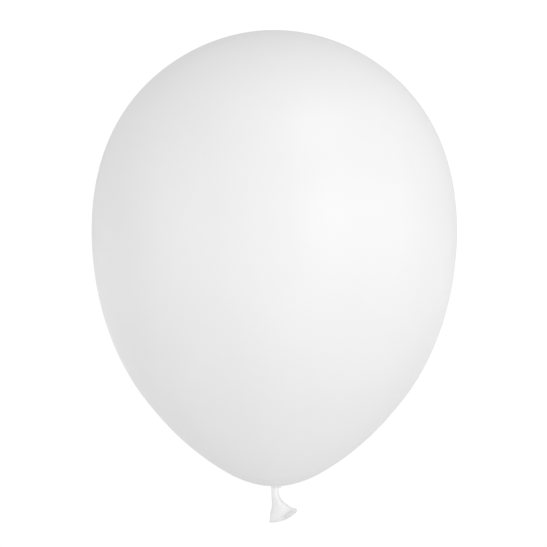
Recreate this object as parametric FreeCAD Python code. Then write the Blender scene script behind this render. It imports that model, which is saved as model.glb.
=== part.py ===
"""A tied, inflated latex balloon, in millimetres.

Origin at the neck tie on the balloon's axis, +Z towards the crown.
The film is one dipped skin on the real object. Here its regions are separate solids:
envelope, gathered neck, overhand knot, tail sleeve, mouth flare and rolled rim bead.
"""
import FreeCAD, Part
import math
import os

from FreeCAD import Vector

# --- driving dimensions -------------------------------------------------------------
INFLATED_HEIGHT = 450.0  # crown to the foot of the bulb, tail not counted
INFLATED_WIDTH = 360.4
BULB_FOOT_Z = -7.2  # where the bulb's outline would meet the axis without its dimple
EGG = (0.1137, 0.0326, 0.0648, -0.1275)  # how the girth varies from crown to foot
FILM = 0.5  # wall of the inflated skin

DIMPLE_MOUTH_R = 9.5  # where the bulb's outline turns into the dimple
DIMPLE_LIP_R = 2.0
DIMPLE_ROOF_R = 3.5
DIMPLE_ROOF_Z = 1.5

NECK_R = 3.2
NECK_TIE_R = 2.7  # the groove that a ribbon pulls into
NECK_TOP_Z = 2.6
NECK_FOOT_Z = -1.5

GAP = 0.3  # clearance between bodies that move
TAIL_X = 1.1  # the knot and tail sit a little off the bulb's axis

KNOT_TOP_Z = NECK_FOOT_Z - GAP
KNOT_FOOT_Z = -9.7
KNOT_RING_R = 3.0  # the turn of the overhand knot, as a ring
KNOT_STRAND_R = 2.75
KNOT_CORE_R = 3.4
KNOT_TILT = 6.0  # degrees, because the turn climbs round the standing part

SLEEVE_TOP_R = 3.4
SLEEVE_FOOT_R = 3.75
SLEEVE_FOOT_Z = -17.0

FLARE_DOME_R = 4.3
FLARE_X = 2.4
FLARE_WALL = 0.8
FLARE_DOME_Z = SLEEVE_FOOT_Z - GAP - FLARE_DOME_R

BEAD_R = 1.0

CURVE_STEPS = 28


def revolved(outline):
    """Solid of revolution about Z from a closed outline in the XZ plane."""
    face = Part.Face(Part.Wire(outline))
    return face.revolve(Vector(0, 0, 0), Vector(0, 0, 1), 360)


def xz(x, z):
    return Vector(x, 0, z)


def line(a, b):
    return Part.LineSegment(a, b).toShape()


def arc(centre, radius, start_deg, end_deg):
    """Arc in the XZ plane through its middle angle, angles counted from +X towards +Z."""
    def at(deg):
        turn = math.radians(deg)
        return centre + Vector(radius * math.cos(turn), 0, radius * math.sin(turn))
    return Part.Arc(at(start_deg), at((start_deg + end_deg) / 2), at(end_deg)).toShape()


# --- the bulb's outline --------------------------------------------------------------
def girth(turn):
    """Shape of the half width, before scaling, at an angle from the crown."""
    c = math.cos(turn)
    series = 1 + sum(weight * c ** (power + 1) for power, weight in enumerate(EGG))
    return math.sin(turn) * series


WIDEST = max(girth(math.pi * i / 2000) for i in range(2001))


def bulb_point(turn):
    radius = girth(turn) * INFLATED_WIDTH / 2 / WIDEST
    return xz(radius, BULB_FOOT_Z + INFLATED_HEIGHT / 2 * (1 + math.cos(turn)))


def bulb_tangent(turn):
    step = 1e-4
    return (bulb_point(turn + step) - bulb_point(turn - step)).normalize()


def dimple_turn():
    """Angle from the crown at which the bulb has narrowed to the dimple's mouth."""
    low, high = math.pi / 2, math.pi
    for _ in range(50):
        middle = (low + high) / 2
        if bulb_point(middle).x > DIMPLE_MOUTH_R:
            low = middle
        else:
            high = middle
    return low


def film_outline(inset):
    """Edges from the crown to the throat, moved inset into the gas side."""
    last = dimple_turn()
    points = []
    for i in range(CURVE_STEPS + 1):
        turn = last * i / CURVE_STEPS
        tangent = bulb_tangent(turn) if i else Vector(1, 0, 0)
        points.append(bulb_point(turn) + Vector(tangent.z, 0, -tangent.x) * inset)
    skin = Part.BSplineCurve()
    foot_tangent = bulb_tangent(last)
    skin.interpolate(Points=points, InitialTangent=Vector(1, 0, 0), FinalTangent=foot_tangent)

    foot_normal = Vector(foot_tangent.z, 0, -foot_tangent.x)
    lip_centre = bulb_point(last) + foot_normal * DIMPLE_LIP_R
    lip_start = math.degrees(math.atan2(-foot_normal.z, -foot_normal.x)) % 360
    lip = arc(lip_centre, DIMPLE_LIP_R - inset, lip_start, 180)
    wall_x = lip_centre.x - DIMPLE_LIP_R
    roof_centre = xz(wall_x - DIMPLE_ROOF_R, DIMPLE_ROOF_Z - DIMPLE_ROOF_R)
    wall = line(xz(wall_x + inset, lip_centre.z), xz(wall_x + inset, roof_centre.z))
    roof_arc = arc(roof_centre, DIMPLE_ROOF_R + inset, 0, 90)
    roof = line(xz(roof_centre.x, DIMPLE_ROOF_Z + inset), xz(NECK_R, DIMPLE_ROOF_Z + inset))
    return [skin.toShape(), lip, wall, roof_arc, roof]


def make_envelope():
    crown = bulb_point(0)
    throat = line(xz(NECK_R, DIMPLE_ROOF_Z), xz(NECK_R, DIMPLE_ROOF_Z + FILM))
    axis = line(crown - Vector(0, 0, FILM), crown)
    return revolved(film_outline(0) + [throat] + film_outline(FILM)[::-1] + [axis])


def make_neck():
    """The gathered throat: a short spool whose waist is the tie groove."""
    groove = Part.Arc(xz(NECK_R, 1.2), xz(NECK_TIE_R, 0), xz(NECK_R, -1.2)).toShape()
    return revolved([
        line(xz(0, NECK_TOP_Z), xz(NECK_R - 0.6, NECK_TOP_Z)),
        line(xz(NECK_R - 0.6, NECK_TOP_Z), xz(NECK_R, NECK_TOP_Z - 0.6)),
        line(xz(NECK_R, NECK_TOP_Z - 0.6), xz(NECK_R, 1.2)),
        groove,
        line(xz(NECK_R, -1.2), xz(NECK_R, NECK_FOOT_Z)),
        line(xz(NECK_R, NECK_FOOT_Z), xz(0, NECK_FOOT_Z)),
        line(xz(0, NECK_FOOT_Z), xz(0, NECK_TOP_Z)),
    ])


# --- the knot ------------------------------------------------------------------------
def make_knot():
    """One turn of the neck round the standing part, pulled tight."""
    tilt = math.radians(KNOT_TILT)
    ring_z = KNOT_FOOT_Z + KNOT_STRAND_R + KNOT_RING_R * math.sin(tilt)
    ring = Part.makeTorus(KNOT_RING_R, KNOT_STRAND_R)
    ring.rotate(Vector(0, 0, 0), Vector(0, 1, 0), KNOT_TILT)
    ring.translate(xz(TAIL_X, ring_z))
    height = KNOT_TOP_Z - KNOT_FOOT_Z
    core = Part.makeCone(KNOT_CORE_R, NECK_R, height, xz(0, KNOT_FOOT_Z))
    core = core.transformGeometry(sheared_to(KNOT_FOOT_Z, KNOT_TOP_Z))
    return ring.fuse(core).removeSplitter()


def sheared_to(foot_z, top_z):
    """Shear that moves the foot to the tail's axis and leaves the top on the bulb's."""
    slope = TAIL_X / (foot_z - top_z)
    return FreeCAD.Matrix(1, 0, slope, -slope * top_z, 0, 1, 0, 0, 0, 0, 1, 0, 0, 0, 0, 1)


# --- the tail ------------------------------------------------------------------------
def make_sleeve():
    """Gathered stem under the knot. Its rounded top turns under the knot's flat foot."""
    top_z = KNOT_FOOT_Z - GAP
    dome_centre = xz(0, top_z - SLEEVE_TOP_R)
    sleeve = revolved([
        arc(dome_centre, SLEEVE_TOP_R, 90, 0),
        line(xz(SLEEVE_TOP_R, dome_centre.z), xz(SLEEVE_FOOT_R, SLEEVE_FOOT_Z)),
        line(xz(SLEEVE_FOOT_R, SLEEVE_FOOT_Z), xz(0, SLEEVE_FOOT_Z)),
        line(xz(0, SLEEVE_FOOT_Z), xz(0, top_z)),
    ])
    sleeve.translate(xz(TAIL_X, 0))
    return sleeve


class Section:
    """One oval cross-section of the flare, from its left edge to its right edge.

    pitch is how far it leans back, in degrees, so that its front edge is the higher one.
    """

    def __init__(self, left, right, half_depth, pitch):
        self.centre = (left + right) / 2
        self.half_width = (right - left).Length / 2
        self.half_depth = half_depth
        self.across = (right - left).normalize()
        down = Vector(self.across.z, 0, -self.across.x)
        lean = math.radians(pitch)
        self.back = Vector(0, 1, 0) * math.cos(lean) + down * math.sin(lean)

    def edge(self, inset=0.0):
        end = self.centre + self.across * (self.half_width - inset)
        side = self.centre + self.back * (self.half_depth - inset)
        return Part.Ellipse(end, side, self.centre).toShape().toNurbs().Edges[0]

    def wire(self, inset=0.0):
        return Part.Wire(self.edge(inset))

    def outward(self):
        return self.back.cross(self.across).normalize()


FLARE_SECTIONS = [
    Section(xz(-2.1, -28.6), xz(11.1, -24.5), 4.6, 8),
    Section(xz(-3.2, -35.9), xz(16.9, -28.6), 5.1, 17),
    Section(xz(-4.1, -41.8), xz(21.3, -31.0), 5.7, 26),
]
HOLLOW_TOP = Section(xz(-0.9, -25.0), xz(6.9, -23.6), 2.6, 4)
MOUTH = FLARE_SECTIONS[-1]


def make_flare():
    """The open skirt, leaning to +X, with a domed top that turns under the sleeve."""
    pivot = xz(FLARE_X, FLARE_DOME_Z)
    neck = Part.Circle(pivot, Vector(0, 0, 1), FLARE_DOME_R).toShape().toNurbs()
    outlines = [Part.Wire(neck.Edges)] + [section.wire() for section in FLARE_SECTIONS]
    skirt = Part.makeLoft(outlines, True)
    dome = Part.makeSphere(FLARE_DOME_R, pivot, Vector(0, 0, 1), 0, 90, 360)
    walls = [HOLLOW_TOP.wire()] + [section.wire(FLARE_WALL) for section in FLARE_SECTIONS]
    past_mouth = MOUTH.wire(FLARE_WALL).translated(MOUTH.outward() * 2)
    hollow = Part.makeLoft(walls + [past_mouth], True)
    return skirt.fuse(dome).removeSplitter().cut(hollow)


def make_bead(flare):
    """The rolled lip round the mouth, seated on the end of the skirt's wall."""
    path = MOUTH.wire(FLARE_WALL / 2)
    start = path.Edges[0].valueAt(path.Edges[0].FirstParameter)
    along = path.Edges[0].tangentAt(path.Edges[0].FirstParameter)
    ring = Part.Wire(Part.Circle(start, along, BEAD_R).toShape())
    return path.makePipeShell([ring], True, True).cut(flare)


def single_solid(name, shape):
    solids = shape.Solids
    if len(solids) != 1 or not shape.isValid():
        raise ValueError(f"{name} is not one valid solid: {len(solids)} solids")
    return solids[0]


def main():
    flare = make_flare()
    nodes = {
        "envelope": make_envelope(),
        "neck": make_neck(),
        "knot": make_knot(),
        "tail_sleeve": make_sleeve(),
        "mouth_flare": flare,
        "rim_bead": make_bead(flare),
    }
    os.makedirs("parts", exist_ok=True)
    for name, shape in nodes.items():
        solid = single_solid(name, shape)
        solid.exportStep(f"parts/{name}.step")
        box = solid.BoundBox
        print(f"{name}: volume {solid.Volume:.0f} mm3, "
              f"X {box.XMin:.2f} to {box.XMax:.2f}, Y {box.YMin:.2f} to {box.YMax:.2f}, "
              f"Z {box.ZMin:.2f} to {box.ZMax:.2f}")


main()
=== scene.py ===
"""A white latex balloon, inflated and tied off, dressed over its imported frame.

Shapes are worked out in millimetres and turned into metres when a mesh is made.
The skin is built as what it is: one film, drawn in to pleats at the neck, tied in an
overhand knot, and opening below it into a slack stem, a flared mouth and a rolled lip.
"""
import math

import bmesh
import bpy
import numpy as np
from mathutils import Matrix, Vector


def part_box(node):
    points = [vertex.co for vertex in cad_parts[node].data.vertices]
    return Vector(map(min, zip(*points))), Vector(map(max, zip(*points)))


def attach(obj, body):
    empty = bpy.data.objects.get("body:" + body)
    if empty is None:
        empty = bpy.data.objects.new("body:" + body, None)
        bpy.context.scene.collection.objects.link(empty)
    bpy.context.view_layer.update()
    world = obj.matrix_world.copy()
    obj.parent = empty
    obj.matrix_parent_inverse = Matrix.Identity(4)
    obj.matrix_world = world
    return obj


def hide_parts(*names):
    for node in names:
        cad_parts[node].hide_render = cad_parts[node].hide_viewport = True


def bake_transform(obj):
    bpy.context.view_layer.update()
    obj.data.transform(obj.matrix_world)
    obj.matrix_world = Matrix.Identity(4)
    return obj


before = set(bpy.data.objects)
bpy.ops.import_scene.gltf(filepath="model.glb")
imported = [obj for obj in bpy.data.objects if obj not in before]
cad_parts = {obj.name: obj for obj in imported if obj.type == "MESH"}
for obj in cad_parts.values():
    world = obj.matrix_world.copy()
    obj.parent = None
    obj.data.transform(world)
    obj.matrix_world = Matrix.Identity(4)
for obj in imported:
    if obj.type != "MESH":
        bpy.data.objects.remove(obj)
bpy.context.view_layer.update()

MM = 0.001


def node_box(node):
    """A CAD node's lowest and highest corners, in millimetres."""
    low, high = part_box(node)
    return np.array(low) / MM, np.array(high) / MM


ENVELOPE_LOW, ENVELOPE_HIGH = node_box("envelope")
NECK_LOW, NECK_HIGH = node_box("neck")
KNOT_LOW, KNOT_HIGH = node_box("knot")
SLEEVE_LOW, SLEEVE_HIGH = node_box("tail_sleeve")

# --- the bulb, in millimetres --------------------------------------------------------
INFLATED_HEIGHT = 450.0
INFLATED_WIDTH = ENVELOPE_HIGH[0] - ENVELOPE_LOW[0]
BULB_FOOT_Z = ENVELOPE_HIGH[2] - INFLATED_HEIGHT
EGG = (0.1137, 0.0326, 0.0648, -0.1275)  # how the girth varies from crown to foot
FLANK_SLIMMER = 1.0  # the lower flank is this much slimmer than in the CAD model,
FLANK_TOP = (98, 62)  # which sets in between these heights
FLANK_FOOT = (0, 14)  # and is gone again between these
FILM = 0.35  # thickness of the stretched film
BULB_SEGMENTS = 288
BULB_RINGS = 170
BULB_RING_CROWDING = 1.35  # over 1, the rings stand closer towards the foot
BEND_RINGS = 13  # rings round the dimple's lip, and round the edge of its roof
DIMPLE_MOUTH_R = 8.7
DIMPLE_LIP_R = 1.3
DIMPLE_ROOF_R = 3.5
DIMPLE_ROOF_Z = 1.5
PUCKERED_FOOT = 60  # how far up from the foot there are puckers at all
FINE_PLEAT, FINE_REACH = 0.22, 5.0  # depth at the dimple's mouth, and how far they run out
PUCKER, PUCKER_REACH = 0.2, 11  # the same of the fewer and longer puckers
THROAT_PLEAT = 0.3

# --- the neck ------------------------------------------------------------------------
NECK_R = (NECK_HIGH[0] - NECK_LOW[0]) / 2
NECK_TIE_R = 2.7
NECK_TIE_REACH = 1.5  # how far above and below the origin the tie draws the neck in
NECK_PLEAT = 0.42
NECK_TWIST = 0.35  # in radians, from its top to its foot
NECK_LEAN = 0.3  # how much of TAIL_X it leans by at its foot
NECK_OVERLAP = 0.25  # how far the neck's film runs up past the dimple's roof
NECK_IN_KNOT = 1.4  # how far it runs down into the knot
NECK_SEGMENTS, NECK_RINGS = 144, 25

# --- the knot ------------------------------------------------------------------------
KNOT_STRAND = [  # the tied strand's share of its route, ring radius, height, half thickness
    (0.00, 0.4, -2.7, 2.2), (0.12, 1.9, -3.1, 2.4), (0.25, 2.9, -3.7, 2.6), (0.40, 3.05, -4.2, 2.6),
    (0.60, 3.1, -4.7, 2.6), (0.79, 3.6, -6.6, 2.6), (0.90, 2.6, -7.3, 2.6), (1.00, 0.9, -7.6, 2.7),
]
KNOT_TURN_FROM, KNOT_TURN_BY = math.radians(20), math.radians(430)
KNOT_TILT = 0.105  # how much the ring drops towards the mouth's side
KNOT_ROUTE_PASSES = 30  # smoothing passes that round off the route's corners
STRAND_STEPS, STRAND_SEGMENTS, STRAND_FOLDS = 240, 128, 10
STRAND_VALLEY, STRAND_RIDGE = 0.84, 0.15  # shares of its half thickness
STRAND_ROUNDING = 0.03  # over 0, the valleys' floors are rounded off
STRAND_FLATNESS = 0.95
STRAND_FOLD_SLANT = 4.5  # how far the folds wind round the strand, in radians
CORE_STEPS, CORE_FOLDS = 40, 8
CORE_TOP_Z = -2.6
CORE_TOP_LEAN = 0.4  # how much of TAIL_X its top is off the bulb's axis
CORE_FOOT_RISE = 1.0  # how far its foot stays above the CAD knot's
CORE_R = (2.3, 3.2)  # at its top and at its foot

# --- the tail ------------------------------------------------------------------------
TAIL_X = (SLEEVE_LOW[0] + SLEEVE_HIGH[0]) / 2
SEAM_Z = SLEEVE_LOW[2] - 0.3  # where the stem's film hands over to the mouth's
LIP_R = 0.5  # the rolled lip
SLACK_FILM = 0.45  # thickness of the unstretched film
TAIL_SEGMENTS = 288
STEM_ROWS, MOUTH_ROWS = 70, 130
ROLL_SEGMENTS = 28
ROLL_FREE_EDGE = math.radians(-60)  # where round the roll its free edge lies
LEFT_EDGE = [  # x and z down the tail's two sides
    (-4.3, -5.2), (-3.5, -7.6), (-2.9, -9.6), (-2.85, -11.8), (-2.95, -14.4), (-2.9, -17.2),
    (-2.55, -20.2), (-2.2, -23.6), (-2.3, -26.8), (-3.1, -30.2), (-3.9, -34.0), (-4.3, -38.0),
    (-4.6, -42.3),
]
RIGHT_EDGE = [
    (5.3, -5.2), (4.6, -7.6), (4.0, -9.6), (3.9, -11.4), (4.15, -13.4), (4.8, -15.6),
    (5.8, -17.8), (7.4, -20.4), (9.5, -22.9), (12.1, -25.2), (15.1, -27.3), (18.4, -29.2),
    (22.0, -30.3),
]
STREAK_TURN = 1.85  # where round it the stem is smooth, a little right of the front
STREAK_WIDTH = 0.6
STREAK_SMOOTHNESS = 0.85
STEM_DEPTH = 2.9  # half the film's depth, front to back, where it leaves the knot,
STEM_DEPTH_GAIN = 1.1  # what that gains down the stem,
MOUTH_DEPTH_GAIN = 1.7  # and what it gains as the mouth opens
MOUTH_PITCH = 8  # how many degrees the mouth tips towards the front at its left corner,
MOUTH_PITCH_GAIN = 24  # what that gains across it,
CORNER_PITCH = 25  # and what its right corner has on top
MOUTH_SAG = 2.7  # how far the lip hangs under a straight line between its corners
GAPE_AT, GAPE_WIDTH = 0.66, 0.20  # where across it the mouth stands open most, 0 left, 1 right
GAPE_PITCH, GAPE_LIFT = 9, 0.7  # degrees that it tips further there, and how much less it sags
STEM_FOLD, FLARE_WAVE, LIP_WAVE = 0.22, 0.10, 0.05
ROLL_OFFSET = 0.1  # how far the roll's middle stands out from the film's

# --- materials -----------------------------------------------------------------------
GRAIN_ROUGHNESS = 0.55
CLOUD_GREYS = (0.835, 0.852)  # the stretched film's cloudy ground,
STREAK_GREY = 0.862  # its dipping streaks,
FOOT_GREY = 0.874  # and the denser film at its foot and crown
CROWN_GREY = 0.871
FOOT_Z = (0.0, 0.09)  # heights in metres over which those fade in
CROWN_Z = (0.436, 0.4428)
SLACK_SHIFTS = (-0.012, 0.012, 0.075)  # the slack film where thin and dense, and its lift near the knot: partly denser gathered film, mostly painted light against the bulb's shade
GATHERED_PAINTED_LIGHT_Z = (-0.021, -0.010)  # heights over which that painted light fades in, going up towards the knot
CHALKY_Z = (-0.020, -0.032)  # heights over which it gets rougher towards the mouth

# --- stage, light and camera, in metres ----------------------------------------------
FLOOR_Z = -0.62
FLOOR_R = 60
FLOOR_GLOW_FROM = (0.8, 4.5)  # how far out the floor fades into the backdrop
BULB_MIDDLE = (BULB_FOOT_Z + INFLATED_HEIGHT / 2) * MM
LIGHT_DISTANCE = 2.2
LIGHTS = (  # name, azimuth, elevation, size, power
    ("key", 30, 5, 0.6, 7.0),
    ("high_fill", 35, 50, 0.8, 5.6),
    ("side_fill", 60, 3, 1.0, 3.6),
    ("left_fill", -60, 0, 1.5, 5.0),
)
WORLD_LIGHT = 0.668  # the even light all round that falls on the object
FLOOR_GLOW = 1.03  # the floor far out, where it turns into the backdrop
BACKDROP_LEVEL = 1.05  # what the camera sees towards +Y
ROOM_LEVEL = 0.80  # what it sees in all other directions
BACKDROP_FADE_DEG = (15, 38)  # how far round from +Y the backdrop's white starts and ends its fade
CAMERA_DISTANCE = 2.5
FRAME_WIDTH = 0.5405  # what the picture takes in, side to side, at the balloon's axis
CAMERA_X = -0.0008
CAMERA_BELOW_MIDDLE = 0.0149  # how far the lens sits under the middle of the bulb


# --- numbers -------------------------------------------------------------------------
def smoothstep(low, high, value):
    """0 at low, 1 at high and eased in between, whichever of the two is the greater."""
    share = np.clip((value - low) / (high - low), 0, 1)
    return share * share * (3 - 2 * share)


def circle(segments):
    """Angles once round, the first not repeated."""
    return np.arange(segments) * 2 * math.pi / segments


def lobes(turn, folds, drift):
    """Rounded folds with sharp valleys round a gathered film, 0 in a valley, 1 on a fold."""
    wander = 0.55 * np.sin(2 * turn + drift) + 0.4 * np.sin(3 * turn + 2.3 * drift)
    return np.abs(np.cos(folds * turn / 2 + wander + 0.3 * np.sin(5 * turn - drift)))


def spline(points, share):
    """Cubic B-spline near given points, from the first to the last, share 0 to 1."""
    points = np.array(points, float)
    before, after = 2 * points[0] - points[1], 2 * points[-1] - points[-2]
    control = np.concatenate([[before], points, [after]])
    spans = len(control) - 3
    place = np.clip(np.asarray(share, float), 0, 1) * spans
    span = np.minimum(place.astype(int), spans - 1)
    t = (place - span)[..., None]
    weights = ((1 - t) ** 3, 3 * t ** 3 - 6 * t ** 2 + 4,
               -3 * t ** 3 + 3 * t ** 2 + 3 * t + 1, t ** 3)
    return sum(w * control[span + i] for i, w in enumerate(weights)) / 6


def unit(vectors):
    """The same directions at length one."""
    return vectors / np.maximum(np.linalg.norm(vectors, axis=-1), 1e-9)[..., None]


# --- mesh making ---------------------------------------------------------------------
def ring_mesh(name, rings, ends="closed", normals=None):
    """A skin over rings of points, shape (rings, segments, 3) in millimetres.

    Closed ends gather the first and last ring into a point each; a looped skin joins its
    last ring to its first.
    """
    count, around, _ = rings.shape
    index = np.arange(count * around).reshape(count, around)
    following = np.roll(index, -1, axis=1)
    if ends == "loop":
        below, below_following = np.roll(index, -1, axis=0), np.roll(following, -1, axis=0)
    else:
        below, below_following = index[1:], following[1:]
        index, following = index[:-1], following[:-1]
    faces = np.stack([index, following, below_following, below], axis=-1).reshape(-1, 4).tolist()
    points = rings.reshape(-1, 3)
    if ends == "closed":
        tips = [rings[0].mean(axis=0), rings[-1].mean(axis=0)]
        points = np.concatenate([points, tips])
        top, foot = count * around, count * around + 1
        first = np.arange(around)
        last = first + (count - 1) * around
        faces += np.stack([np.roll(first, -1), first, np.full(around, top)], axis=-1).tolist()
        faces += np.stack([last, np.roll(last, -1), np.full(around, foot)], axis=-1).tolist()
    mesh = bpy.data.meshes.new(name)
    mesh.from_pydata((points * MM).tolist(), [], faces)
    shape = bmesh.new()
    shape.from_mesh(mesh)
    bmesh.ops.recalc_face_normals(shape, faces=shape.faces)
    shape.to_mesh(mesh)
    shape.free()
    mesh.polygons.foreach_set("use_smooth", [True] * len(mesh.polygons))
    if normals is not None:
        mesh.normals_split_custom_set_from_vertices(normals.reshape(-1, 3).tolist())
    piece = bpy.data.objects.new(name, mesh)
    bpy.context.scene.collection.objects.link(piece)
    return piece


def finish_piece(piece, slot, node, *materials):
    """Puts a piece's materials in its slots and hides the CAD node that it stands for. The slot
    argument is not used.
    """
    for index, material in enumerate(materials):
        if index == len(piece.data.materials):
            piece.data.materials.append(material)
        piece.data.materials[index] = material
    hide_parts(node)


# --- node trees ----------------------------------------------------------------------
class Nodes:
    """Short calls for a material's node tree."""

    def __init__(self, name):
        self.material = bpy.data.materials.new(name)
        self.material.use_nodes = True
        self.tree = self.material.node_tree
        self.shader = self.tree.nodes["Principled BSDF"]
        self.place = self.add("ShaderNodeTexCoord").outputs["Object"]

    def add(self, kind, **inputs):
        node = self.tree.nodes.new(kind)
        for key, value in inputs.items():
            self.feed(node.inputs[key.replace("_", " ")], value)
        return node

    def feed(self, socket, value):
        if isinstance(value, bpy.types.NodeSocket):
            self.tree.links.new(value, socket)
        else:
            socket.default_value = value

    def stretched(self, scale):
        return self.add("ShaderNodeMapping", Vector=self.place, Scale=scale).outputs[0]

    def grain(self, scale, detail, place=None):
        node = self.add("ShaderNodeTexNoise", Vector=place or self.place, Scale=scale,
                        Detail=detail, Roughness=GRAIN_ROUGHNESS)
        return node.outputs["Fac"]

    def mix(self, share, first, second):
        node = self.tree.nodes.new("ShaderNodeMix")
        node.data_type = "RGBA"
        self.feed(node.inputs["Factor"], share)
        self.feed(node.inputs[6], first)
        self.feed(node.inputs[7], second)
        return node.outputs[2]

    def between(self, value, low, high, out_low, out_high):
        """Low to high turned into out_low to out_high, and held at both ends."""
        node = self.add("ShaderNodeMapRange", Value=value, From_Min=low, From_Max=high,
                        To_Min=out_low, To_Max=out_high)
        return node.outputs[0]

    def total(self, first, second):
        node = self.tree.nodes.new("ShaderNodeMath")
        self.feed(node.inputs[0], first)
        self.feed(node.inputs[1], second)
        return node.outputs[0]

    def height(self):
        return self.add("ShaderNodeSeparateXYZ", Vector=self.place).outputs["Z"]

    def bump(self, value, distance, strength, under=None):
        node = self.add("ShaderNodeBump", Height=value, Strength=strength, Distance=distance)
        if under is not None:
            self.feed(node.inputs["Normal"], under)
        return node.outputs[0]


def grey(level):
    return level, level, level, 1


def inflated_latex():
    """Stretched film: powdery satin, faint dipping streaks, denser at the crown and foot."""
    n = Nodes("inflated_latex")
    streaks = n.grain(22, detail=4, place=n.stretched((1, 1, 0.12)))
    cloud = n.grain(9, detail=2)
    thin, dense = (grey(level) for level in CLOUD_GREYS)
    tone = n.mix(n.between(cloud, 0.35, 0.65, 0, 1), thin, dense)
    tone = n.mix(n.between(streaks, 0.3, 0.7, 0, 0.35), tone, grey(STREAK_GREY))
    tone = n.mix(n.between(n.height(), *FOOT_Z, 0.5, 0), tone, grey(FOOT_GREY))
    tone = n.mix(n.between(n.height(), *CROWN_Z, 0, 0.4), tone, grey(CROWN_GREY))
    n.feed(n.shader.inputs["Base Color"], tone)
    powder = n.grain(900, detail=2)
    n.feed(n.shader.inputs["Roughness"], n.between(powder, 0, 1, 0.35, 0.53))
    skin = n.bump(n.grain(420, detail=1), 0.00002, 0.4)
    skin = n.bump(streaks, 0.0002, 0.12, under=skin)
    n.feed(n.shader.inputs["Normal"], skin)
    n.shader.inputs["IOR"].default_value = 1.5
    n.shader.inputs["Specular IOR Level"].default_value = 0.5
    n.shader.inputs["Sheen Weight"].default_value = 0.04
    n.shader.inputs["Sheen Roughness"].default_value = 0.5
    return n.material


def slack_latex(name, tone, crease_scale, rough):
    """Unstretched film: thicker and waxier, with fine shrink wrinkles, and whiter towards the knot:
    partly denser gathered film, mostly painted light where the bulb's shade falls.
    """
    n = Nodes(name)
    cloud = n.between(n.grain(160, detail=3), 0.35, 0.65, 0, 1)
    thin, dense, gathered_painted_light_grey = (grey(tone + shift) for shift in SLACK_SHIFTS)
    # Painted light: towards the knot the film is made whiter, partly for the denser gathered film
    # and mostly to lift the shade under the bulb
    gathered = n.between(n.height(), *GATHERED_PAINTED_LIGHT_Z, 0, 1)
    n.feed(n.shader.inputs["Base Color"], n.mix(gathered, n.mix(cloud, thin, dense), gathered_painted_light_grey))
    powder = n.between(n.grain(1500, detail=1), 0, 1, -0.06, 0.07)
    chalky = n.between(n.height(), *CHALKY_Z, rough, rough + 0.12)
    n.feed(n.shader.inputs["Roughness"], n.total(powder, chalky))
    n.feed(n.shader.inputs["Normal"], n.bump(n.grain(crease_scale, detail=1), 0.00008, 0.25))
    n.shader.inputs["Specular IOR Level"].default_value = 0.9
    return n.material


# --- making the bulb -----------------------------------------------------------------
def girth(turn):
    """How far out the bulb stands, turn 0 at the crown and pi at the foot."""
    c = np.cos(turn)
    series = 1 + sum(weight * c ** (power + 1) for power, weight in enumerate(EGG))
    return np.sin(turn) * series


WIDEST = girth(np.linspace(0, math.pi, 2001)).max()


def bulb_outline(turn):
    """(radius, z) of the bulb, its lower flank a little slimmer than in the CAD model."""
    radius = girth(turn) * INFLATED_WIDTH / 2 / WIDEST
    height = BULB_FOOT_Z + INFLATED_HEIGHT / 2 * (1 + np.cos(turn))
    slimmer = FLANK_SLIMMER * smoothstep(*FLANK_TOP, height) * smoothstep(*FLANK_FOOT, height)
    return np.stack([radius - slimmer, height], axis=-1)


def film_outline():
    """(radius, z) from the crown down the bulb, round the dimple's lip and up to the throat."""
    turns = np.linspace(0, math.pi, 20001)[1:]
    outline = bulb_outline(turns)
    last = turns[np.argmax((outline[:, 0] < DIMPLE_MOUTH_R) & (turns > math.pi / 2))]
    share = np.linspace(0, 1, BULB_RINGS + 1)[1:]
    bulb = bulb_outline(last * (1 - (1 - share) ** BULB_RING_CROWDING))
    along = bulb[-1] - bulb[-2]
    along /= np.linalg.norm(along)
    inward = np.array([along[1], -along[0]])
    lip_centre = bulb[-1] + inward * DIMPLE_LIP_R
    start = math.atan2(-inward[1], -inward[0]) % (2 * math.pi)
    lip_turn = np.linspace(start, math.pi, BEND_RINGS)[1:]
    lip = lip_centre + DIMPLE_LIP_R * np.stack([np.cos(lip_turn), np.sin(lip_turn)], axis=-1)
    wall_x = lip_centre[0] - DIMPLE_LIP_R
    roof_centre = np.array([wall_x - DIMPLE_ROOF_R, DIMPLE_ROOF_Z - DIMPLE_ROOF_R])
    wall = np.linspace(lip[-1], (wall_x, roof_centre[1]), 5)[1:]
    roof_turn = np.linspace(0, math.pi / 2, BEND_RINGS)[1:]
    roof = roof_centre + DIMPLE_ROOF_R * np.stack([np.cos(roof_turn), np.sin(roof_turn)], axis=-1)
    throat = np.linspace(roof[-1], (NECK_R, DIMPLE_ROOF_Z), 4)[1:]
    return np.concatenate([bulb, lip, wall, roof, throat])


def pleats(turn):
    """Fine pleats of the gathered throat, 0 in a valley and 1 on a fold."""
    return 0.65 * lobes(turn, 22, 0.7) + 0.35 * lobes(turn, 13, 2.1)


def crease_depth(outline, turn):
    """How far in the film is drawn at each place, most at the throat, fading up the bulb."""
    in_dimple = np.arange(len(outline)) > np.argmin(outline[:, 1])
    reach = np.where(in_dimple, 0, np.maximum(outline[:, 0] - DIMPLE_MOUTH_R, 0))[:, None]
    near_foot = (outline[:, 1] < BULB_FOOT_Z + PUCKERED_FOOT)[:, None]
    fine = FINE_PLEAT * np.exp(-reach / FINE_REACH) * (1 - pleats(turn))
    length = PUCKER_REACH + 5 * np.sin(5 * turn + 0.8) + 3 * np.sin(11 * turn)
    puckers = PUCKER * np.exp(-reach / length) * (1 - lobes(turn, 15, 1.4))
    in_throat = smoothstep(DIMPLE_MOUTH_R, NECK_R, outline[:, 0])
    throat = np.where(in_dimple, in_throat, 0)[:, None]
    return near_foot * (fine + puckers) + THROAT_PLEAT * throat * (1 - pleats(turn))


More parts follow.
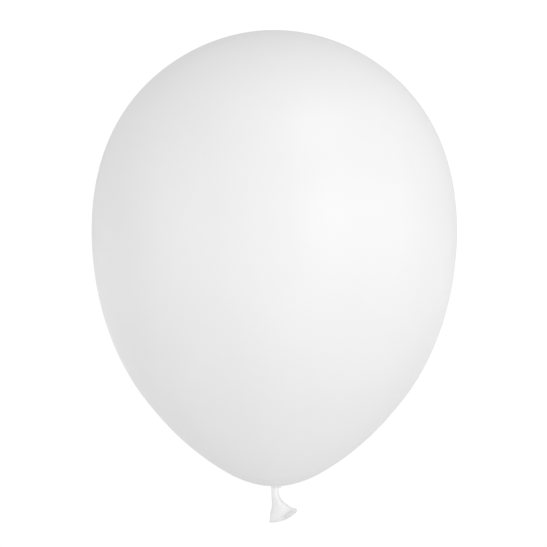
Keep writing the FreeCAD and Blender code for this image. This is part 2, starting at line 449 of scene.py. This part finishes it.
def outline_normals(outline):
    """Outward directions square to an outline."""
    along = np.gradient(outline, axis=0)
    along /= np.linalg.norm(along, axis=1)[:, None]
    return np.stack([-along[:, 1], along[:, 0]], axis=-1)


def make_bulb_film():
    """The inflated skin, a closed double wall from the crown to the throat in the dimple."""
    turn = circle(BULB_SEGMENTS)
    outline = film_outline()
    normals = outline_normals(outline)
    depth = crease_depth(outline, turn)
    rings = []
    for inset in (0, FILM):
        push = -depth - inset
        radius = outline[:, :1] + normals[:, :1] * push
        height = outline[:, 1:] + normals[:, 1:] * push
        skin = np.stack([radius * np.cos(turn), radius * np.sin(turn), height], axis=-1)
        rings.append(skin if inset == 0 else skin[::-2])  # unseen, so half the rings do
    piece = ring_mesh("bulb_film", np.concatenate(rings))
    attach(piece, "bulb")
    return piece


def make_neck_film():
    """The gathered throat between the bulb and the knot, narrowest at the tie."""
    turn = circle(NECK_SEGMENTS)
    top, foot = DIMPLE_ROOF_Z + NECK_OVERLAP, KNOT_HIGH[2] - NECK_IN_KNOT
    rings = []
    for share in np.linspace(0, 1, NECK_RINGS):
        z = top + (foot - top) * share
        radius = NECK_TIE_R + (NECK_R - NECK_TIE_R) * min(1, abs(z) / NECK_TIE_REACH) ** 2
        radius = radius - NECK_PLEAT * (1 - pleats(turn))
        lean = TAIL_X * NECK_LEAN * share
        twist = turn + NECK_TWIST * share
        rings.append(np.stack([lean + radius * np.cos(twist), radius * np.sin(twist),
                               np.full(NECK_SEGMENTS, z)], axis=-1))
    piece = ring_mesh("neck_film", np.array(rings))
    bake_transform(piece)
    return piece


# --- making the knot -----------------------------------------------------------------
def knot_route():
    """Centre line of the strand: down from the neck, once round and a bit, and to the stem."""
    stops = np.array(KNOT_STRAND)
    share = np.linspace(0, 1, STRAND_STEPS)
    radius, height, thick = (np.interp(share, stops[:, 0], stops[:, k]) for k in (1, 2, 3))
    for _ in range(KNOT_ROUTE_PASSES):
        for run in (radius, height, thick):
            run[1:-1] = (run[:-2] + 2 * run[1:-1] + run[2:]) / 4
    turn = KNOT_TURN_FROM + share * KNOT_TURN_BY
    x = TAIL_X + radius * np.cos(turn)
    route = np.stack([x, radius * np.sin(turn), height - KNOT_TILT * (x - TAIL_X)], axis=-1)
    return route, thick


def swept(name, route, thick, folds, drift):
    """A pleated strand along a route, each section square to it."""
    turn = circle(STRAND_SEGMENTS)
    along = unit(np.gradient(route, axis=0))
    side = unit(np.cross(along, (0, 0, 1.0)) + (0, 1e-6, 0))
    up = np.cross(side, along)
    share = np.linspace(0, 1, len(route))
    slanted = turn + STRAND_FOLD_SLANT * share[:, None]
    rounded = np.sqrt(lobes(slanted, folds, drift) ** 2 + STRAND_ROUNDING)
    ridges = STRAND_VALLEY + STRAND_RIDGE * rounded
    section = (thick[:, None] * ridges)[..., None]
    across = (np.cos(turn)[None, :, None] * side[:, None]
              + STRAND_FLATNESS * np.sin(turn)[None, :, None] * up[:, None])
    return ring_mesh(name, route[:, None] + section * across)


def make_knot_turn():
    """The tied strand and the core that it grips, two closed skins in one mesh."""
    strand = swept("knot_turn", *knot_route(), STRAND_FOLDS, 1.3)
    core_top = (TAIL_X * CORE_TOP_LEAN, 0, CORE_TOP_Z)
    core_foot = (TAIL_X, 0, KNOT_LOW[2] + CORE_FOOT_RISE)
    core = swept("knot_core", np.linspace(core_top, core_foot, CORE_STEPS),
                 np.linspace(*CORE_R, CORE_STEPS), CORE_FOLDS, 0.4)
    shape = bmesh.new()
    for part in (strand, core):
        shape.from_mesh(part.data)
    shape.to_mesh(strand.data)
    shape.free()
    bpy.data.objects.remove(core)
    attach(strand, "knot")
    return strand


# --- making the tail -----------------------------------------------------------------
def tail_surface(down, turn, inset=0.0):
    """Points of the tail's film, down 0 in the knot and 1 at the mouth.

    turn is 0 on the left edge, a quarter turn on the front, half a turn on the right edge.
    """
    down, turn = np.broadcast_arrays(down, turn)
    left, right = spline(LEFT_EDGE, down), spline(RIGHT_EDGE, down)
    across = (1 - np.cos(turn)) / 2
    chord = right - left
    width = np.linalg.norm(chord, axis=-1)
    level = unit(chord)
    below = np.stack([level[..., 1], -level[..., 0]], axis=-1)
    opening = smoothstep(0.3, 1.0, down)
    depth = (STEM_DEPTH + STEM_DEPTH_GAIN * smoothstep(0.0, 0.6, down)
             + MOUTH_DEPTH_GAIN * opening)
    gape = np.exp(-((across - GAPE_AT) / GAPE_WIDTH) ** 2)
    pitch = (MOUTH_PITCH + MOUTH_PITCH_GAIN * across + CORNER_PITCH * across ** 6
             + GAPE_PITCH * gape)
    pitch = np.radians(pitch) * opening
    sag = MOUTH_SAG * np.sin(math.pi * across ** 0.7) - GAPE_LIFT * gape
    sag = sag * smoothstep(0.45, 1.0, down)
    smooth = 1 - STREAK_SMOOTHNESS * np.exp(-((turn - STREAK_TURN) / STREAK_WIDTH) ** 2)
    fold = (STEM_FOLD * smooth * (lobes(turn, 10, 0.9) - 0.6) * (1 - smoothstep(0.1, 0.55, down))
            + FLARE_WAVE * np.sin(5 * turn + 2.2 * down + 0.6) * smoothstep(0.25, 0.6, down)
            + LIP_WAVE * np.sin(9 * turn - 3 * down) * smoothstep(0.5, 0.9, down))
    side = -np.sin(turn) * (depth + fold - inset)
    slide = -np.cos(turn) * (width / 2 + fold - inset)
    drop = sag + side * np.sin(pitch)
    flat = (left + right) / 2 + level * slide[..., None] + below * drop[..., None]
    return np.stack([flat[..., 0], side * np.cos(pitch), flat[..., 1]], axis=-1)


def tail_normals(down, turn, inset=0.0):
    """Outward normals of the whole tail's film, the same on both sides of the seam."""
    step = 1e-3
    along = tail_surface(down + step, turn, inset) - tail_surface(down - step, turn, inset)
    round_it = tail_surface(down, turn + step, inset) - tail_surface(down, turn - step, inset)
    return unit(np.cross(along, round_it))


def seam_share():
    """How far down the tail its film passes the seam between the stem and the mouth."""
    share = np.linspace(0, 1, 2001)
    middle = (spline(LEFT_EDGE, share) + spline(RIGHT_EDGE, share))[:, 1] / 2
    return share[np.argmax(middle < SEAM_Z)]


def tail_film(name, start, stop, rows):
    """A closed double wall of film between two levels of the tail.

    Its inner skin takes the second material.
    """
    turn = circle(TAIL_SEGMENTS)[None, :]
    down = np.linspace(start, stop, rows)[:, None]
    back_up = down[::-1]
    rings = np.concatenate([tail_surface(down, turn), tail_surface(back_up, turn, SLACK_FILM)])
    normals = np.concatenate([tail_normals(down, turn), -tail_normals(back_up, turn, SLACK_FILM)])
    piece = ring_mesh(name, rings, ends="loop", normals=normals)
    inner = np.arange(len(piece.data.polygons)) >= rows * TAIL_SEGMENTS
    piece.data.materials.append(None)
    piece.data.materials.append(None)
    piece.data.polygons.foreach_set("material_index", inner.astype(np.int32))
    return piece


def make_stem_film():
    """The slack stem, which bends just under the knot."""
    piece = tail_film("stem_film", 0.0, seam_share(), STEM_ROWS)
    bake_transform(piece)
    return piece


def make_mouth_film():
    """The flared mouth, which bends under the seam."""
    piece = tail_film("mouth_film", seam_share(), 1.0, MOUTH_ROWS)
    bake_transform(piece)
    return piece


def make_rim_roll():
    """The lip, rolled outwards on itself, its free edge a fine step against the film."""
    turn = circle(TAIL_SEGMENTS)
    edge = tail_surface(1.0, turn, SLACK_FILM / 2)
    out = tail_normals(1.0, turn, SLACK_FILM / 2)
    along = unit(np.roll(edge, -1, axis=0) - np.roll(edge, 1, axis=0))
    down = np.cross(along, out)
    uneven = (1 + 0.03 * np.sin(7 * turn + 0.4) + 0.02 * np.sin(17 * turn + 1.9)
              + 0.012 * np.sin(41 * turn))
    wound = LIP_R * (0.95 + 0.08 * np.arange(ROLL_SEGMENTS) / ROLL_SEGMENTS)
    rings = []
    for angle, radius in zip(ROLL_FREE_EDGE + circle(ROLL_SEGMENTS), wound):
        away = math.cos(angle) * out + math.sin(angle) * down
        rings.append(edge + ROLL_OFFSET * out + (radius * uneven)[:, None] * away)
    piece = ring_mesh("rim_roll", np.array(rings), ends="loop")
    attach(piece, "mouth")
    return piece


# --- making the studio ---------------------------------------------------------------
def studio_level(tree, direction, backdrop, cast, target):
    """Feeds a level: that of the backdrop towards +Y, fading to that of the room all round.

    Only what is seen varies: the light cast on the object stays even.
    """
    fade_start, fade_end = (math.cos(math.radians(angle)) for angle in BACKDROP_FADE_DEG)
    level_of = tree.nodes.new("ShaderNodeMapRange")
    level_of.interpolation_type = "SMOOTHSTEP"
    level_of.inputs["From Min"].default_value = fade_end
    level_of.inputs["From Max"].default_value = fade_start
    level_of.inputs["To Min"].default_value = ROOM_LEVEL
    level_of.inputs["To Max"].default_value = backdrop
    straight = tree.nodes.new("ShaderNodeVectorMath")
    straight.operation = "NORMALIZE"
    parts = tree.nodes.new("ShaderNodeSeparateXYZ")
    path = tree.nodes.new("ShaderNodeLightPath")
    choose = tree.nodes.new("ShaderNodeMix")
    choose.inputs["A"].default_value = cast
    for source, socket in ((direction, straight.inputs[0]),
                           (straight.outputs[0], parts.inputs[0]),
                           (parts.outputs["Y"], level_of.inputs["Value"]),
                           (level_of.outputs[0], choose.inputs["B"]),
                           (path.outputs["Is Camera Ray"], choose.inputs["Factor"]),
                           (choose.outputs[0], target)):
        tree.links.new(source, socket)


def make_floor():
    """A pale matt floor that fades into the backdrop's white further out."""
    bpy.ops.mesh.primitive_circle_add(vertices=128, radius=FLOOR_R, fill_type="TRIFAN",
                                      location=(0, 0, FLOOR_Z))
    floor = bpy.context.object
    floor.name = "floor"
    n = Nodes("floor")
    reach = n.add("ShaderNodeVectorMath", Vector=n.place)
    reach.operation = "LENGTH"
    glow = n.add("ShaderNodeEmission", Color=grey(1))
    studio_level(n.tree, n.place, FLOOR_GLOW, FLOOR_GLOW, glow.inputs["Strength"])
    fade = n.between(reach.outputs["Value"], *FLOOR_GLOW_FROM, 0, 1)
    blend = n.add("ShaderNodeMixShader", Fac=fade)
    n.tree.links.new(n.shader.outputs[0], blend.inputs[1])
    n.tree.links.new(glow.outputs[0], blend.inputs[2])
    n.tree.links.new(blend.outputs[0], n.tree.nodes["Material Output"].inputs["Surface"])
    n.shader.inputs["Base Color"].default_value = grey(0.9)
    n.shader.inputs["Roughness"].default_value = 0.9
    floor.data.materials.append(n.material)


def make_light(name, azimuth, elevation, size, power):
    """A soft disk lamp aimed at the bulb's middle.

    Azimuth 0 is the camera's side, 90 the mouth's.
    """
    lamp = bpy.data.lights.new(name, "AREA")
    lamp.shape = "DISK"
    lamp.size = size
    lamp.energy = power
    round_it, rise = math.radians(azimuth), math.radians(elevation)
    away = Vector((math.sin(round_it) * math.cos(rise), -math.cos(round_it) * math.cos(rise),
                   math.sin(rise)))
    light = bpy.data.objects.new(name, lamp)
    light.location = Vector((0, 0, BULB_MIDDLE)) + away * LIGHT_DISTANCE
    light.rotation_euler = (-away).to_track_quat("-Z", "Y").to_euler()
    light.visible_camera = False
    bpy.context.scene.collection.objects.link(light)


def make_world():
    """White behind the object, pale grey elsewhere, and a dimmer even light on it."""
    world = bpy.data.worlds.new("studio")
    bpy.context.scene.world = world
    world.use_nodes = True
    tree = world.node_tree
    background = tree.nodes["Background"]
    background.inputs["Color"].default_value = grey(1)
    direction = tree.nodes.new("ShaderNodeTexCoord").outputs["Generated"]
    studio_level(tree, direction, BACKDROP_LEVEL, WORLD_LIGHT, background.inputs["Strength"])


def make_camera():
    """A level camera on the -Y side, a little under the middle of the bulb."""
    lens = bpy.data.cameras.new("camera")
    lens.sensor_width = 36
    lens.lens = lens.sensor_width / FRAME_WIDTH * CAMERA_DISTANCE
    camera = bpy.data.objects.new("camera", lens)
    camera.location = (CAMERA_X, -CAMERA_DISTANCE, BULB_MIDDLE - CAMERA_BELOW_MIDDLE)
    camera.rotation_euler = (math.radians(90), 0, 0)
    bpy.context.scene.collection.objects.link(camera)
    bpy.context.scene.camera = camera


def main():
    make_camera()
    gathered = slack_latex("gathered_latex", tone=0.865, crease_scale=900, rough=0.30)
    slack = slack_latex("slack_latex", tone=0.865, crease_scale=500, rough=0.31)
    # Painted light: the inner skin is whiter than the outer film, in place of light shining through
    # the thin film into the mouth's shaded inside
    inside_painted_light = slack_latex("slack_latex_inside_painted_light", tone=0.925, crease_scale=500, rough=0.50)
    rolled = slack_latex("rolled_latex", tone=0.855, crease_scale=1100, rough=0.32)

    finish_piece(make_bulb_film(), "inflated_latex", "envelope", inflated_latex())
    finish_piece(make_neck_film(), "gathered_latex", "neck", gathered)
    finish_piece(make_knot_turn(), "gathered_latex", "knot", gathered)
    finish_piece(make_stem_film(), "slack_latex", "tail_sleeve", slack, inside_painted_light)
    finish_piece(make_mouth_film(), "slack_latex", "mouth_flare", slack, inside_painted_light)
    finish_piece(make_rim_roll(), "rolled_latex", "rim_bead", rolled)

    make_floor()
    make_world()
    for light in LIGHTS:
        make_light(*light)


bpy.context.scene.view_settings.view_transform = "Standard"
main()
